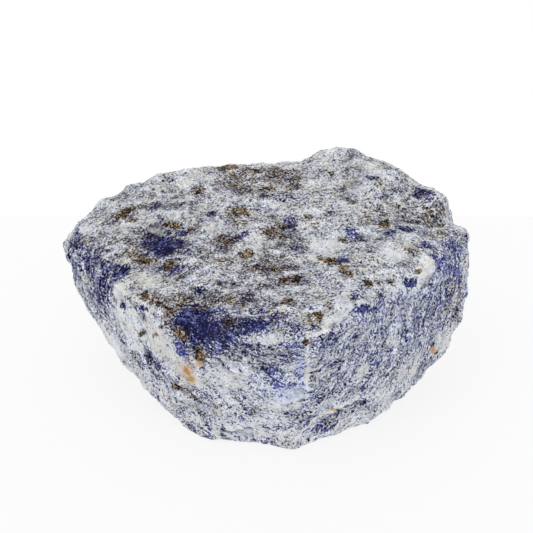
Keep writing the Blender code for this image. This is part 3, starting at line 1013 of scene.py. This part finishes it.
cream = add_node("TexNoise", {"Vector": place, "Scale": 1.0 / CREAM_SIZE, "Detail": 3.0})
cream = add_node("ValToRGB", {"Fac": cream}, stops=CREAM_BORDER)
cream = add_node("Math", {0: share_of["pale"], 1: cream}, operation="MULTIPLY")
cream = add_node("Math", {0: cream, 1: CREAM_MOST}, operation="MULTIPLY")
warmth = add_node("TexNoise", {"Vector": squeezed_place(CLUMP_STRETCH, (9.0, 4.0, -6.0)),
                               "Scale": 1.0 / WARM_SIZE, "Detail": 5.0, "Roughness": 0.7})
warmth = add_node("MapRange", {"Value": warmth, "From Min": 0.42, "From Max": 0.6,
                               "To Max": 0.85})
cast = add_node("Math", {0: share_of["bright"], 1: BLUE_MOST}, operation="MULTIPLY")
colour = calcite.outputs["Color"]
for share, tint, way in ((cream, CALCITE_CREAM, "MIX"), (warmth, WARM_TINT, "MULTIPLY"),
                         (cast, CALCITE_BLUE, "MIX")):
    colour = add_node("Mix", {"Factor": share, 6: colour, 7: linear(tint)},
                      data_type="RGBA", blend_type=way).outputs[2]
print("tints of the calcite:", CALCITE_CREAM, WARM_TINT, CALCITE_BLUE)

# %% [markdown]
# Lazurite grains are navy in the thick of the rock and violet blue at thin edges. Their ramp
# takes the noise and the tone of the rock around them, with its painted light and shade, and a
# little chance, so that neighbours differ. Bright places shift all of it towards a clear violet
# blue, which low on the front is partly painted light. The helper gives the colour and the hurdle
# of a kind of grain, because the brown grains are made in the same way.

# %% Lazurite grains
LAZURITE = [(0.2, "0A0A24"), (0.42, "16153C"), (0.58, "29295E"), (0.8, "666DA6")]
LAZURITE_BRIGHT = "5462BC"
BRIGHT_MOST = 0.8
TONE_OF_GRAINS = 0.35
CHANCE_OF_GRAINS = 0.3

grain_shade = add_node("Math", {0: share_of["tone"], 1: TONE_OF_GRAINS},
                       operation="MULTIPLY")
grain_shade = add_node("Math", {0: rock_noise, 1: grain_shade}, operation="ADD")


def coloured_grains(stops, shift):
    """The colour of a kind of grain, and the hurdle that places its grains."""
    hurdle, chance = hurdle_of_noise(shift)
    shade = add_node("Math", {0: grain_shade, 1: centred(chance, CHANCE_OF_GRAINS)},
                     operation="ADD")
    return add_node("ValToRGB", {"Fac": shade}, stops=stops), hurdle


lazurite, hurdle = coloured_grains(LAZURITE, (0.0, 0.0, 0.0))
brightness = add_node("MapRange", {"Value": share_of["bright"], "From Min": BRIGHT_ON_SIDES,
                                   "From Max": 1.0, "To Max": BRIGHT_MOST})
lazurite = add_node("Mix", {"Factor": brightness, 6: lazurite,
                            7: linear(LAZURITE_BRIGHT)}, data_type="RGBA").outputs[2]
colour = add_node("Mix", {"Factor": shown_where(share_of["blue"], hurdle), 6: colour,
                          7: lazurite}, data_type="RGBA").outputs[2]
print("shades of lazurite:", len(LAZURITE))

# %% [markdown]
# Weathered pyrite is dark brown inside and the colour of sand where it has crumbled. It lies over
# the blue, with a hurdle of its own, so that the two kinds of grain don't share their places.

# %% Weathered brown grains
WEATHERED = [(0.2, "130D08"), (0.42, "332619"), (0.6, "5F4D39"), (0.85, "A08E72")]

weathered, hurdle = coloured_grains(WEATHERED, (31.0, 17.0, -23.0))
colour = add_node("Mix", {"Factor": shown_where(share_of["brown"], hurdle), 6: colour,
                          7: weathered}, data_type="RGBA").outputs[2]
print("shades of the brown grains:", len(WEATHERED))

# %% [markdown]
# Rust has soaked into the calcite, so it is a stain and not a grain: cream at its border, and
# orange brown in its middle. The noise of the rock makes it patchy.

# %% Rust stains
RUST = [(0.25, "DED2BC"), (0.6, "D2A86E"), (1.0, "AE6F32")]

stain = add_node("Math", {0: rock_noise, 1: 0.5}, operation="ADD")
stain = add_node("Math", {0: share_of["rust"], 1: stain}, operation="MULTIPLY")
stain_share = add_node("MapRange", {"Value": stain, "From Min": 0.05, "From Max": 0.6,
                                    "To Max": 0.9})
stained = add_node("ValToRGB", {"Fac": stain}, stops=RUST)
colour = add_node("Mix", {"Factor": stain_share, 6: colour, 7: stained},
                  data_type="RGBA").outputs[2]
rock.node_tree.links.new(colour, shader.inputs["Base Color"])
print("shades of rust:", len(RUST))

# %% [markdown]
# Lapis rock is broken, not cut, so its surface is dull: a roughness of 0.6 to 0.9, and little
# reflection, because each tiny facet shades the next. Calcite has an index of refraction of 1.5
# along one axis and nearly 1.7 along the other, and lazurite has 1.5, so 1.55 stands for all. The
# facets of a grain are a few hundredths of a millimetre, too fine to show, so they are drawn
# 0.35 mm wide.

# %% Broken surface
FACET_SIZE = 0.35
BUMP_DEPTH = 0.15
BUMP_STRENGTH = 0.7
ROCK_IOR = 1.55
ROCK_REFLECTION = 0.06

facets = add_node("TexNoise", {"Vector": place, "Scale": 1.0 / FACET_SIZE,
                               "Detail": 4.0, "Roughness": 0.6})
roughness = add_node("MapRange", {"Value": facets, "From Min": 0.3, "From Max": 0.7,
                                  "To Min": 0.6, "To Max": 0.9})
bump = add_node("Bump", {"Height": facets, "Strength": BUMP_STRENGTH,
                         "Distance": BUMP_DEPTH * MM})
rock.node_tree.links.new(roughness.outputs[0], shader.inputs["Roughness"])
rock.node_tree.links.new(bump.outputs[0], shader.inputs["Normal"])
shader.inputs["IOR"].default_value = ROCK_IOR
shader.inputs["Specular IOR Level"].default_value = ROCK_REFLECTION
stone_mesh.materials.append(rock)
print("material nodes:", len(rock.node_tree.nodes))

# %% [markdown]
# ## Floor
#
# The stone was photographed on a white board, so bright that its shadow almost vanishes. The
# floor is a grey that glows: the glow keeps it pale, and the grey takes a faint shadow. It ends
# just behind the stone, where the board fades into the white surround. Its sizes are in metres.

# %% Floor
FLOOR_WIDTH = 4.0
FLOOR_FRONT = -2.0
FLOOR_BACK = 0.042
BOARD_GREY = "646466"
BOARD_ROUGHNESS = 0.9
BOARD_GLOW = 0.82


def white_board():
    """Painted board: matt, and lit up as in a white surround."""
    material = bpy.data.materials.new("white_board")
    material.use_nodes = True
    board = material.node_tree.nodes["Principled BSDF"]
    board.inputs["Base Color"].default_value = linear(BOARD_GREY)
    board.inputs["Roughness"].default_value = BOARD_ROUGHNESS
    board.inputs["Emission Color"].default_value = linear("FFFFFF")
    board.inputs["Emission Strength"].default_value = BOARD_GLOW
    return material


floor_mesh = bpy.data.meshes.new("floor")
half = FLOOR_WIDTH / 2
floor_mesh.from_pydata([(-half, FLOOR_FRONT, 0), (half, FLOOR_FRONT, 0),
                        (half, FLOOR_BACK, 0), (-half, FLOOR_BACK, 0)], [], [(0, 1, 2, 3)])
floor_mesh.materials.append(white_board())
floor = bpy.data.objects.new("floor", floor_mesh)
bpy.context.scene.collection.objects.link(floor)
print("floor, m:", FLOOR_WIDTH, "by", FLOOR_BACK - FLOOR_FRONT)

# %% [markdown]
# ## Light
#
# A white world lights the stone from all sides, as the surround did. One large soft lamp from
# above, a little to the left, sets the faces apart. Blender's standard view keeps white as
# white, where the default one would turn it grey.

# %% Light
SURROUND = (1.0, 1.0, 1.0, 1.0)
LAMP_PLACE = Vector((-140, -60, 330))
LAMP_SIDE = 160
LAMP_POWER = 0.12

world = bpy.data.worlds.new("white_surround")
world.use_nodes = True
world.node_tree.nodes["Background"].inputs["Color"].default_value = SURROUND
world.node_tree.nodes["Background"].inputs["Strength"].default_value = 1.0
bpy.context.scene.world = world

lamp_data = bpy.data.lights.new("key_light", "AREA")
lamp_data.size = LAMP_SIDE * MM
lamp_data.energy = LAMP_POWER
lamp = bpy.data.objects.new("key_light", lamp_data)
lamp.location = LAMP_PLACE * MM
lamp.rotation_euler = LAMP_PLACE.to_track_quat("Z", "Y").to_euler()
bpy.context.scene.collection.objects.link(lamp)
bpy.context.scene.view_settings.view_transform = "Standard"
bpy.context.scene.view_settings.look = "None"
print("lamp at, mm:", [round(value) for value in LAMP_PLACE], "power, W:", LAMP_POWER)
